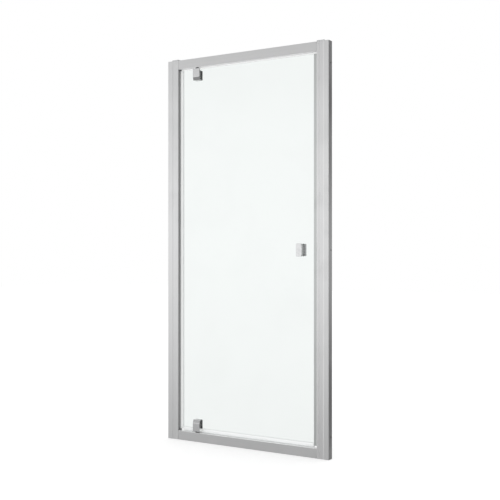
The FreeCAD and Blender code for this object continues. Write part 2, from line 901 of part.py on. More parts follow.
# ---- every piece under its name --------------------------------------------------------------
pieces = {
    "wall_channel_hinge": wall_channel(),
    "wall_channel_strike": mirrored(wall_channel()),
    "hinge_post": hinge_post(),
    "strike_post": strike_post(),
    "post_cap_hinge": post_cap(None),
    "post_cap_strike": mirrored(post_cap(strike_floor())),
    "bottom_rail": bottom_rail(),
    "head_rail": turned_over(bottom_rail()),
    "corner_screws": corner_screws(),
    "post_fixing_screws": post_fixing_screws(),
    "screw_covers": screw_covers(),
    "strike_magnet_strip": strike_magnet_strip(),
    "pivot_bush_bottom": bottom_bush(),
    "pivot_bush_top": turned_over(bottom_bush()),
    "pivot_anchor_bottom": bottom_anchor(),
    "pivot_anchor_top": turned_over(bottom_anchor()),
    "door_glass": door_glass(),
    "hinge_edge_seal": hinge_edge_seal(),
    "closing_edge_profile": closing_edge_profile(),
    "door_magnet_strip": door_magnet_strip(),
    "drip_seal": drip_seal(),
    "pivot_block_bottom": bottom_block(),
    "pivot_block_top": turned_over(bottom_block()),
    "clamp_plate_bottom": bottom_clamp_plate(),
    "clamp_plate_top": turned_over(bottom_clamp_plate()),
    "clamp_gasket_bottom_outer": bottom_gasket(block_back),
    "clamp_gasket_bottom_inner": bottom_gasket(glass_back),
    "clamp_gasket_top_outer": turned_over(bottom_gasket(block_back)),
    "clamp_gasket_top_inner": turned_over(bottom_gasket(glass_back)),
    "pivot_pin_bottom": bottom_pin(),
    "pivot_pin_top": turned_over(bottom_pin()),
    "pivot_grub_screws": both_ends([bottom_grub_screw()]),
    "clamp_screws": both_ends(bottom_clamp_screws()),
    "clamp_sleeves": both_ends(bottom_clamp_sleeves()),
    "handle_outer": handle_outer(),
    "handle_inner": handle_inner(),
    "handle_gasket_outer": handle_pad(glass_front - handle_gasket),
    "handle_gasket_inner": handle_pad(glass_back),
    "handle_stud": handle_stud(),
    "handle_sleeve": sleeve(handle_x, handle_height, stud_radius + screw_play, stud_sleeve_wall),
    "handle_grub_screw": handle_grub_screw(),
}

os.makedirs("parts", exist_ok=True)
for name, shape in pieces.items():
    shape.exportStep(f"parts/{name}.step")
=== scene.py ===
"""Finishes, studio and camera for a framed pivot shower door.

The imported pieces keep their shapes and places. This script gives each one its finish, models the
fittings whose soft edges need a finer mesh, and sets the studio and the photograph's viewpoint.
Lengths are in metres.
"""

import logging
import math
from dataclasses import dataclass
from enum import Enum
from typing import Callable, NamedTuple

import bmesh
import bpy
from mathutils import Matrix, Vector


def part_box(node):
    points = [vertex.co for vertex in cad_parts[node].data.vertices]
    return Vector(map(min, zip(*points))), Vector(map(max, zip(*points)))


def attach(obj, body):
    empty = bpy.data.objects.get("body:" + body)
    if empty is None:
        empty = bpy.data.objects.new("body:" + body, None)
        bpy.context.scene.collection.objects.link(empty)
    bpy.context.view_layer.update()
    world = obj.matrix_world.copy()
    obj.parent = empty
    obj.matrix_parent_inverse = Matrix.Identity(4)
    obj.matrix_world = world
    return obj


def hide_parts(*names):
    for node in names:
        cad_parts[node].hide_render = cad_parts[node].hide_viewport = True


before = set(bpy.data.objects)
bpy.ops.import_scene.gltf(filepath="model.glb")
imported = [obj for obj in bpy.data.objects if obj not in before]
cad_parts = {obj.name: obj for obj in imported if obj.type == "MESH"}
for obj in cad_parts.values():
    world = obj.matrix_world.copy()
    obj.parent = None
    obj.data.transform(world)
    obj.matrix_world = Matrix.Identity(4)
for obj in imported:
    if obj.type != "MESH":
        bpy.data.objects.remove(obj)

log = logging.getLogger("shower_door")

Colour = tuple[float, float, float]
Paint = tuple[float, float, float, float]
Place = tuple[float, float, float]
Pair = tuple[float, float]
Test = Callable[[Vector, Vector], bool]
Node = bpy.types.Node
Socket = bpy.types.NodeSocket
Outputs = bpy.types.NodeOutputs

IMAGE_SIZE = 500  # Width of the photograph in pixels.
DOORWAY_MIDDLE = (0.0, 0.0, 0.95)
NEAR = 1e-5  # Places less than this apart are one place.
ALIGNED = 0.9  # From this share of a unit direction on, it runs along the axis.
OVERSHOOT = 0.001  # How far a drill stands out of the face that it enters.
ROUND_SIDES = 48  # Facets of a full circle.
INWARD = Vector((0.0, 1.0, 0.0))
UP = Vector((0.0, 0.0, 1.0))


# ---- shader helpers ----


class Along(Enum):
    """Direction in which an extrusion was drawn: how its lines shrink along each axis."""

    POST = (1.0, 1.0, 0.004)
    RAIL = (0.004, 1.0, 1.0)


class Shift(NamedTuple):
    """A smooth change: its range, and the results before and after."""

    low: float
    high: float
    before: float = 0.0
    after: float = 1.0


class NodeBench:
    """Adds and links nodes in one node tree."""

    def __init__(self, tree: bpy.types.NodeTree) -> None:
        """Starts on a material's, a world's or a group's tree."""
        self.tree = tree

    def add(self, kind: str, *sources: object, **settings: object) -> Node:
        """Adds a node.

        Args:
            kind: The node's type name.
            sources: Values or sockets for its first inputs, in their order.
            settings: Properties to set on the node.

        Returns:
            The new node.
        """
        node = self.tree.nodes.new(kind)
        for name, value in settings.items():
            setattr(node, name, value)
        for slot, source in zip(node.inputs, sources):
            self.feed(slot, source)
        return node

    def feed(self, target: Socket, source: object) -> None:
        """Gives an input socket a link or a plain value.

        Args:
            target: The input socket.
            source: An output socket, or a value.
        """
        if isinstance(source, Socket):
            self.tree.links.new(source, target)
        else:
            target.default_value = source

    def fill(self, node: Node, **sources: object) -> Node:
        """Feeds some of a node's inputs by their names.

        Args:
            node: The node.
            sources: Values or sockets by the inputs' names, with _ for a space.

        Returns:
            The node.
        """
        for name, source in sources.items():
            self.feed(node.inputs[name.replace("_", " ")], source)
        return node

    def coordinates(self, kind: str = "Object") -> Socket:
        """Adds texture coordinates and returns those of one kind."""
        return self.add("ShaderNodeTexCoord").outputs[kind]

    def math(self, operation: str, *values: object) -> Socket:
        """Adds a Math node and returns its result."""
        return self.add("ShaderNodeMath", *values, operation=operation).outputs[0]

    def vector(self, operation: str, first: object, second: object) -> Socket:
        """Adds a Vector Math node and returns its result, a number for a dot product."""
        node = self.add("ShaderNodeVectorMath", first, second, operation=operation)
        return node.outputs["Value" if operation == "DOT_PRODUCT" else "Vector"]

    def ramp(self, value: object, shift: Shift) -> Socket:
        """Maps a value or a socket through a smooth change."""
        node = self.add("ShaderNodeMapRange", value, *shift, interpolation_type="SMOOTHSTEP")
        return node.outputs[0]

    def stops(self, value: object, levels: tuple[Pair, ...]) -> Socket:
        """Maps a value from -1 to 1 through grey levels with soft changes between them.

        Args:
            value: Value or socket to map.
            levels: Pairs of a value and its level.

        Returns:
            The level.
        """
        node = self.add("ShaderNodeValToRGB", self.math("MULTIPLY_ADD", value, 0.5, 0.5))
        node.color_ramp.interpolation = "EASE"
        marks = node.color_ramp.elements
        while len(marks) < len(levels):
            marks.new(0.5)
        for mark, (position, level) in zip(marks, levels):
            mark.position = (position + 1.0) / 2.0
            mark.color = grey(level)
        return node.outputs[0]

    def mix(self, share: object, first: object, second: object) -> Socket:
        """Adds a colour mix.

        Args:
            share: Value or socket: 0 gives the first colour, 1 the second.
            first: Colour or socket.
            second: Colour or socket.

        Returns:
            The mixed colour.
        """
        node = self.add("ShaderNodeMix", share, data_type="RGBA")
        # Its colour sockets are inputs 6 and 7 and output 2.
        self.feed(node.inputs[6], first)
        self.feed(node.inputs[7], second)
        return node.outputs[2]

    def noise(self, place: object, scale: object, detail: float = 2.0) -> Socket:
        """Adds noise with a scale in features per metre and returns its value."""
        node = self.add("ShaderNodeTexNoise")
        return self.fill(node, Vector=place, Scale=scale, Detail=detail).outputs[0]


def rgba(colour: Colour) -> Paint:
    """The colour with an alpha of 1."""
    return (*colour, 1.0)


def grey(level: float) -> Paint:
    """The grey of a level with an alpha of 1."""
    return rgba((level,) * 3)


def bench_on(owner: bpy.types.Material | bpy.types.World) -> NodeBench:
    """Empties a node tree.

    Args:
        owner: The material or world that has it.

    Returns:
        A bench on the empty tree.
    """
    owner.use_nodes = True
    owner.node_tree.nodes.clear()
    return NodeBench(owner.node_tree)


class EffectGroup:
    """A node group that several finishes share."""

    title: str = ""
    inputs: dict[str, object] = {}
    outputs: tuple[str, ...] = ()

    def build(self) -> bpy.types.NodeTree:
        """Makes the group if it doesn't exist.

        Returns:
            The group.
        """
        existing = bpy.data.node_groups.get(self.title)
        if existing is not None:
            return existing
        tree = bpy.data.node_groups.new(self.title, "ShaderNodeTree")
        for name, value in self.inputs.items():
            kind = "NodeSocketVector" if isinstance(value, tuple) else "NodeSocketFloat"
            socket = tree.interface.new_socket(name, in_out="INPUT", socket_type=kind)
            socket.default_value = value
        for name in self.outputs:
            tree.interface.new_socket(name, in_out="OUTPUT", socket_type="NodeSocketFloat")
        bench = NodeBench(tree)
        results = self.wire(bench, bench.add("NodeGroupInput").outputs)
        bench.fill(bench.add("NodeGroupOutput"), **results)
        return tree

    def wire(self, bench: NodeBench, given: Outputs) -> dict[str, Socket]:
        """Fills the group.

        Args:
            bench: Bench on the group's tree.
            given: The group's inputs.

        Returns:
            A socket for each of the group's outputs.
        """
        raise NotImplementedError

    def place(self, bench: NodeBench, **values: object) -> Outputs:
        """Puts the group in a material, fills its inputs and returns its outputs."""
        group = bench.add("ShaderNodeGroup", node_tree=self.build())
        return bench.fill(group, **values).outputs


class DrawnLines(EffectGroup):
    """Faint lines that a drawn or brushed surface has along one direction."""

    title = "drawn lines"
    inputs = {"Stretch": (1.0, 1.0, 0.01), "Fineness": 900.0}
    outputs = ("Height", "Tone")
    broad_scale = 90.0
    tone_shift = Shift(0.3, 0.7)

    def wire(self, bench: NodeBench, given: Outputs) -> dict[str, Socket]:
        """Fills the group: fine noise for the height, broad noise for the tone.

        Args:
            bench: Bench on the group's tree.
            given: The group's inputs.

        Returns:
            A socket for each output.
        """
        along = bench.vector("MULTIPLY", bench.coordinates(), given["Stretch"])
        fine = bench.noise(along, given["Fineness"], detail=3.0)
        broad = bench.noise(along, self.broad_scale)
        return {"Height": fine, "Tone": bench.ramp(broad, self.tone_shift)}


class EdgeWear(EffectGroup):
    """Mask of the outer edges, broken up as wear and polishing leave it."""

    title = "edge wear"
    inputs = {"Radius": 0.0008, "Patchiness": 60.0}
    outputs = ("Mask",)
    turn_shift = Shift(0.995, 0.8)
    patch_shift = Shift(0.35, 0.65, 0.35, 1.0)

    def wire(self, bench: NodeBench, given: Outputs) -> dict[str, Socket]:
        """Fills the group: the turn of the rounded normal away from the flat one, times noise.

        Args:
            bench: Bench on the group's tree.
            given: The group's inputs.

        Returns:
            A socket for each output.
        """
        rounded = bench.add("ShaderNodeBevel", given["Radius"], samples=4)
        surface = bench.add("ShaderNodeNewGeometry")
        turn = bench.vector("DOT_PRODUCT", rounded.outputs["Normal"], surface.outputs["Normal"])
        edge = bench.ramp(turn, self.turn_shift)
        patches = bench.noise(bench.coordinates(), given["Patchiness"], detail=4.0)
        broken = bench.ramp(patches, self.patch_shift)
        return {"Mask": bench.math("MULTIPLY", edge, broken)}


class Handling(EffectGroup):
    """Soft smears and dried drops that dull a shiny surface here and there."""

    title = "handling"
    inputs = {"Smear Scale": 14.0, "Speck Scale": 260.0}
    outputs = ("Smears", "Specks")
    smear_distortion = 0.6
    smear_shift = Shift(0.4, 0.75)
    speck_shift = Shift(0.68, 0.78)

    def wire(self, bench: NodeBench, given: Outputs) -> dict[str, Socket]:
        """Fills the group: broad distorted noise for smears, sparse noise for specks.

        Args:
            bench: Bench on the group's tree.
            given: The group's inputs.

        Returns:
            A socket for each output.
        """
        place = bench.coordinates()
        smears = bench.noise(place, given["Smear Scale"], detail=3.0)
        bench.fill(smears.node, Distortion=self.smear_distortion)
        specks = bench.ramp(bench.noise(place, given["Speck Scale"], detail=1.0), self.speck_shift)
        return {"Smears": bench.ramp(smears, self.smear_shift), "Specks": specks}


class MouldedSkin(EffectGroup):
    """The fine pebbled skin of a moulded or extruded plastic."""

    title = "moulded skin"
    inputs = {"Grain": 2400.0}
    outputs = ("Height", "Tone")
    tone_scale = 22.0

    def wire(self, bench: NodeBench, given: Outputs) -> dict[str, Socket]:
        """Fills the group: fine noise for the height and a slow change of tone.

        Args:
            bench: Bench on the group's tree.
            given: The group's inputs.

        Returns:
            A socket for each output.
        """
        place = bench.coordinates()
        fine = bench.noise(place, given["Grain"])
        return {"Height": fine, "Tone": bench.noise(place, self.tone_scale, detail=3.0)}


# ---- finishes ----


@dataclass(frozen=True)
class Finish:
    """What one surface is made of. Each kind of finish fills in its own nodes.

    Attributes:
        title: The material's name.
        colour: Main colour, linear.
        roughness: Mean roughness.
    """

    title: str
    colour: Colour
    roughness: float

    def build(self) -> bpy.types.Material:
        """Makes the material if it doesn't exist.

        Returns:
            The material.
        """
        existing = bpy.data.materials.get(self.title)
        if existing is not None:
            return existing
        material = bpy.data.materials.new(self.title)
        bench = bench_on(material)
        shader = bench.add("ShaderNodeBsdfPrincipled")
        output = bench.add("ShaderNodeOutputMaterial", shader.outputs[0])
        self.dress(bench, shader, output)
        return material

    def dress(self, bench: NodeBench, shader: Node, output: Node) -> None:
        """Sets the shader up.

        Args:
            bench: Bench on the material's tree.
            shader: Its Principled BSDF.
            output: Its output node.
        """
        raise NotImplementedError

    def tone(self, share: float = 1.0) -> Paint:
        """The main colour times a share, capped at white, with an alpha of 1."""
        return rgba(tuple(min(1.0, share * part) for part in self.colour))

    def roughened(self, bench: NodeBench, mask: Socket, rise: float) -> Socket:
        """Roughness that rises above the mean where a mask is light."""
        return bench.ramp(mask, Shift(0.0, 1.0, self.roughness, self.roughness + rise))

    def bump(self, bench: NodeBench, shader: Node, height: object, depth: float) -> None:
        """Adds surface relief.

        Args:
            bench: Bench on the material's tree.
            shader: The shader that takes the normal.
            height: Socket with the relief.
            depth: Its depth in metres.
        """
        relief = bench.add("ShaderNodeBump")
        bench.fill(relief, Strength=1.0, Distance=depth, Height=height)
        bench.fill(shader, Normal=relief.outputs[0])


@dataclass(frozen=True)
class DrawnAluminium(Finish):
    """Bright anodised extrusion with faint lines along its length.

    Attributes:
        along: The direction in which it was drawn.
        painted_light_tone: Tone of the side towards the doorway as a share of the rest: painted
            shade below 1, painted highlight above 1.
        reveal_shine: Share of that side's light that it mirrors. The rest it scatters.
    """

    along: Along = Along.POST
    painted_light_tone: float = 1.0
    reveal_shine: float = 1.0

    line_tone = 0.985
    edge_tone = 1.12
    line_roughness = 0.03
    smear_rise = 0.05
    line_depth = 0.000005
    facing_shift = Shift(0.25, 0.37)

    def dress(self, bench: NodeBench, shader: Node, output: Node) -> None:
        """Sets up the metal, its drawn lines, its brighter edges and the tone painted on its
        doorway side as shade or highlight.

        Args:
            bench: Bench on the material's tree.
            shader: Its Principled BSDF.
            output: Its output node.
        """
        lines = DrawnLines().place(bench, Stretch=self.along.value, Fineness=1400.0)
        wear = EdgeWear().place(bench, Radius=0.0007, Patchiness=35.0)
        touch = Handling().place(bench, Smear_Scale=6.0, Speck_Scale=420.0)
        toned = bench.mix(lines["Tone"], self.tone(self.line_tone), self.tone())
        worn = bench.mix(wear["Mask"], toned, self.tone(self.edge_tone))
        # Painted light: the side towards the doorway gets its own tone, painted shade where
        # painted_light_tone is below 1 and a painted highlight where it is above 1.
        reveal = 0.0 if self.painted_light_tone == 1.0 else self.painted_light_mask(bench)
        seen = bench.mix(reveal, worn, self.tone(self.painted_light_tone))
        lined = bench.math("MULTIPLY", lines["Height"], self.line_roughness)
        rough = self.roughened(bench, touch["Smears"], self.smear_rise)
        shine = bench.ramp(reveal, Shift(0.0, 1.0, 1.0, self.reveal_shine))
        bench.fill(shader, Base_Color=seen, Roughness=bench.math("ADD", rough, lined))
        bench.fill(shader, Metallic=shine)
        self.bump(bench, shader, lines["Height"], self.line_depth)

    def painted_light_mask(self, bench: NodeBench) -> Socket:
        """Marks the side that looks towards the middle of the doorway, which takes the painted
        shade or painted highlight of painted_light_tone.

        Args:
            bench: Bench on the material's tree.

        Returns:
            1 on that side, 0 elsewhere.
        """
        inward = bench.vector("SUBTRACT", DOORWAY_MIDDLE, bench.coordinates())
        facing = bench.vector("DOT_PRODUCT", bench.coordinates("Normal"), inward)
        return bench.ramp(facing, self.facing_shift)


@dataclass(frozen=True)
class PolishedChrome(Finish):
    """Chrome plating: a clear mirror with faint smears and brighter edges."""

    smear_tone = 0.94
    edge_colour = (0.86, 0.87, 0.88)
    speck_roughness = 0.1
    smear_rise = 0.07
    wave_depth = 0.000006

    def dress(self, bench: NodeBench, shader: Node, output: Node) -> None:
        """Sets up the plating, its smears and the slight waviness of polished castings.

        Args:
            bench: Bench on the material's tree.
            shader: Its Principled BSDF.
            output: Its output node.
        """
        touch = Handling().place(bench, Smear_Scale=55.0, Speck_Scale=900.0)
        wear = EdgeWear().place(bench, Radius=0.0006, Patchiness=180.0)
        skin = MouldedSkin().place(bench, Grain=320.0)
        toned = bench.mix(touch["Smears"], self.tone(), self.tone(self.smear_tone))
        bright = bench.mix(wear["Mask"], toned, rgba(self.edge_colour))
        speckled = bench.math("MULTIPLY", touch["Specks"], self.speck_roughness)
        smeared = self.roughened(bench, touch["Smears"], self.smear_rise)
        rough = bench.math("ADD", smeared, speckled)
        bench.fill(shader, Base_Color=bright, Roughness=rough, Metallic=1.0)
        self.bump(bench, shader, skin["Height"], self.wave_depth)


@dataclass(frozen=True)
class TurnedSteel(Finish):
    """Stainless steel of screws, studs and pins."""

    line_tone = 0.85
    edge_colour = (0.85, 0.86, 0.87)
    roughness_shift = Shift(0.3, 0.7, -0.05, 0.08)
    line_depth = 0.00001

    def dress(self, bench: NodeBench, shader: Node, output: Node) -> None:
        """Sets up the steel with fine turning marks and brighter edges.

        Args:
            bench: Bench on the material's tree.
            shader: Its Principled BSDF.
            output: Its output node.
        """
        lines = DrawnLines().place(bench, Stretch=(1.0, 1.0, 1.0), Fineness=2600.0)
        wear = EdgeWear().place(bench, Radius=0.0003, Patchiness=400.0)
        toned = bench.mix(lines["Tone"], self.tone(self.line_tone), self.tone())
        bright = bench.mix(wear["Mask"], toned, rgba(self.edge_colour))
        change = bench.ramp(lines["Height"], self.roughness_shift)
        rough = bench.math("ADD", change, self.roughness)
        bench.fill(shader, Base_Color=bright, Roughness=rough, Metallic=1.0)
        self.bump(bench, shader, lines["Height"], self.line_depth)


@dataclass(frozen=True)
class MouldedPlastic(Finish):
    """Solid plastic or rubber with a fine moulded skin.

    Attributes:
        grain: Grains per metre.
        relief: Depth of the grain in metres.
        edge: Colour that edges wear to.
    """

    grain: float = 2400.0
    relief: float = 0.00002
    edge: Colour = (0.2, 0.2, 0.2)

    low_tone = 0.88
    edge_share = 0.5
    smear_rise = 0.1

    def dress(self, bench: NodeBench, shader: Node, output: Node) -> None:
        """Sets up the plastic, its grain and its paler edges.

        Args:
            bench: Bench on the material's tree.
            shader: Its Principled BSDF.
            output: Its output node.
        """
        skin = MouldedSkin().place(bench, Grain=self.grain)
        wear = EdgeWear().place(bench, Radius=0.0005, Patchiness=250.0)
        touch = Handling().place(bench, Smear_Scale=30.0, Speck_Scale=700.0)
        toned = bench.mix(skin["Tone"], self.tone(self.low_tone), self.tone())
        worn = bench.math("MULTIPLY", wear["Mask"], self.edge_share)
        rough = self.roughened(bench, touch["Smears"], self.smear_rise)
        pale = bench.mix(worn, toned, rgba(self.edge))
        bench.fill(shader, Base_Color=pale, Roughness=rough)
        self.bump(bench, shader, skin["Height"], self.relief)


@dataclass(frozen=True)
class ClearMaterial(Finish):
    """Glass or seal plastic, which lets lamp light through.

    Attributes:
        clearness: Share of the light that passes through unscattered.
        refraction: Index of refraction.
        waviness: Depth in metres of the slow waves in the surface.
        wave_scale: Waves per metre.
        body_tint: Colour that a long way through the body takes on.
        body_depth: How strongly the body tints, per metre.
    """

    clearness: float = 1.0
    refraction: float = 1.5
    waviness: float = 0.00001
    wave_scale: float = 5.0
    body_tint: Colour = (0.75, 0.93, 0.86)
    body_depth: float = 0.0

    smear_tone = 0.985
    speck_rise = 0.02

    def dress(self, bench: NodeBench, shader: Node, output: Node) -> None:
        """Sets up the body, its surface waves and the way for lamp light.

        Args:
            bench: Bench on the material's tree.
            shader: Its Principled BSDF.
            output: Its output node.
        """
        bench.fill(shader, Transmission_Weight=self.clearness, IOR=self.refraction)
        touch = Handling().place(bench, Smear_Scale=4.0, Speck_Scale=600.0)
        toned = bench.mix(touch["Smears"], self.tone(), self.tone(self.smear_tone))
        rough = self.roughened(bench, touch["Specks"], self.speck_rise)
        bench.fill(shader, Base_Color=toned, Roughness=rough)
        waves = bench.noise(bench.coordinates(), self.wave_scale, detail=1.0)
        self.bump(bench, shader, waves, self.waviness)
        if self.body_depth > 0.0:
            body = bench.add("ShaderNodeVolumeAbsorption", rgba(self.body_tint), self.body_depth)
            bench.fill(output, Volume=body.outputs[0])
        shadow = bench.add("ShaderNodeLightPath").outputs["Is Shadow Ray"]
        clear = bench.add("ShaderNodeBsdfTransparent", self.tone())
        pane = bench.add("ShaderNodeMixShader", shadow, shader.outputs[0], clear.outputs[0])
        bench.fill(output, Surface=pane.outputs[0])


POST_ALUMINIUM = DrawnAluminium("anodised post", (0.77, 0.772, 0.775), 0.28)
# The hinge post's side towards the doorway is painted at 36 % of its tone: painted shade.
SHADED_HINGE_POST_ALUMINIUM = DrawnAluminium(
    "anodised hinge post with painted shade", (0.77, 0.772, 0.775), 0.28, painted_light_tone=0.36
)
# The rails' side towards the doorway is painted 30 % lighter and scatters more of its light:
# painted highlight.
RAIL_ALUMINIUM = DrawnAluminium(
    "anodised rail with painted highlight", (0.72, 0.722, 0.725), 0.28, Along.RAIL, painted_light_tone=1.3, reveal_shine=0.45
)
# The closing edge profile is the posts' anodising painted darker: painted shade.
SHADED_EDGE_ALUMINIUM = DrawnAluminium("anodised edge profile with painted shade", (0.605, 0.625, 0.618), 0.30)
CAST_ALUMINIUM = DrawnAluminium("mill aluminium", (0.62, 0.63, 0.64), 0.42, Along.RAIL)
CHROME = PolishedChrome("polished chrome", (0.72, 0.725, 0.73), 0.16)
STEEL = TurnedSteel("stainless steel", (0.60, 0.60, 0.61), 0.24)
BUSH_PLASTIC = MouldedPlastic("black bush plastic", (0.018, 0.018, 0.02), 0.42)
CAP_PLASTIC = MouldedPlastic(
    "silver cap plastic", (0.50, 0.505, 0.51), 0.32, edge=(0.75, 0.75, 0.76)
)
PAD_RUBBER = MouldedPlastic("pad rubber", (0.03, 0.03, 0.033), 0.6, grain=1500.0)
NYLON = MouldedPlastic("nylon sleeve", (0.80, 0.80, 0.78), 0.4, edge=(0.9, 0.9, 0.9))
MAGNET_SLEEVE = MouldedPlastic(
    "magnet strip sleeve", (0.62, 0.63, 0.63), 0.45, edge=(0.8, 0.8, 0.8)
)
PANE_GLASS = ClearMaterial("clear toughened glass", (0.918, 0.944, 0.934), 0.0, body_depth=4.0)
SEAL_PLASTIC = ClearMaterial(
    "clear seal plastic", (0.965, 0.98, 0.975), 0.5,
    clearness=0.0, refraction=1.46, waviness=0.00003, wave_scale=60.0,
)


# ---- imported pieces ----


@dataclass
class PackedSet:
    """A sub-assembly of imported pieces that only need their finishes.

    Attributes:
        title: What the log calls it.
        finishes: The nodes that each finish is for.
    """

    title: str
    finishes: dict[Finish, tuple[str, ...]]

    def dress(self) -> None:
        """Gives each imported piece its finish."""
        for finish, nodes in self.finishes.items():
            for node in nodes:
                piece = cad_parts[node]
                piece.data.materials.clear()
                piece.data.materials.append(finish.build())
                log.info("%s: %s in %s", self.title, node, finish.title)


FRAME_SET = PackedSet(
    "frame",
    {
        POST_ALUMINIUM: ("wall_channel_hinge", "wall_channel_strike", "strike_post"),
        SHADED_HINGE_POST_ALUMINIUM: ("hinge_post",),
        RAIL_ALUMINIUM: ("head_rail", "bottom_rail"),
        CAP_PLASTIC: ("post_cap_hinge", "post_cap_strike", "screw_covers"),
        STEEL: ("corner_screws", "post_fixing_screws"),
        MAGNET_SLEEVE: ("strike_magnet_strip",),
        BUSH_PLASTIC: ("pivot_bush_bottom", "pivot_bush_top"),
        CAST_ALUMINIUM: ("pivot_anchor_bottom", "pivot_anchor_top"),
    },
)
DOOR_SET = PackedSet(
    "door",
    {
        PANE_GLASS: ("door_glass",),
        SEAL_PLASTIC: ("hinge_edge_seal", "drip_seal"),
        SHADED_EDGE_ALUMINIUM: ("closing_edge_profile",),
        MAGNET_SLEEVE: ("door_magnet_strip",),
        CHROME: (
            "pivot_block_bottom", "pivot_block_top",
            "clamp_plate_bottom", "clamp_plate_top",
            "handle_outer", "handle_inner",
        ),
        PAD_RUBBER: (
            "clamp_gasket_bottom_outer", "clamp_gasket_bottom_inner",
            "clamp_gasket_top_outer", "clamp_gasket_top_inner",
            "handle_gasket_outer", "handle_gasket_inner",
        ),
        STEEL: (
            "pivot_pin_bottom", "pivot_pin_top", "pivot_grub_screws",
            "clamp_screws", "handle_stud", "handle_grub_screw",
        ),
        NYLON: ("clamp_sleeves", "handle_sleeve"),
    },
)


# ---- new pieces ----


class Rounding(NamedTuple):
    """A rounded edge: its radius and the number of its facets."""

    radius: float
    facets: int


def near(first: float, second: float) -> bool:
    """Whether two places along an axis are one place."""
    return abs(first - second) < NEAR


def pick_only(*bodies: bpy.types.Object) -> None:
    """Selects these objects alone and makes the first one active.

    Args:
        bodies: The objects.
    """
    bpy.ops.object.select_all(action="DESELECT")
    for body in bodies:
        body.select_set(True)
    bpy.context.view_layer.objects.active = bodies[0]


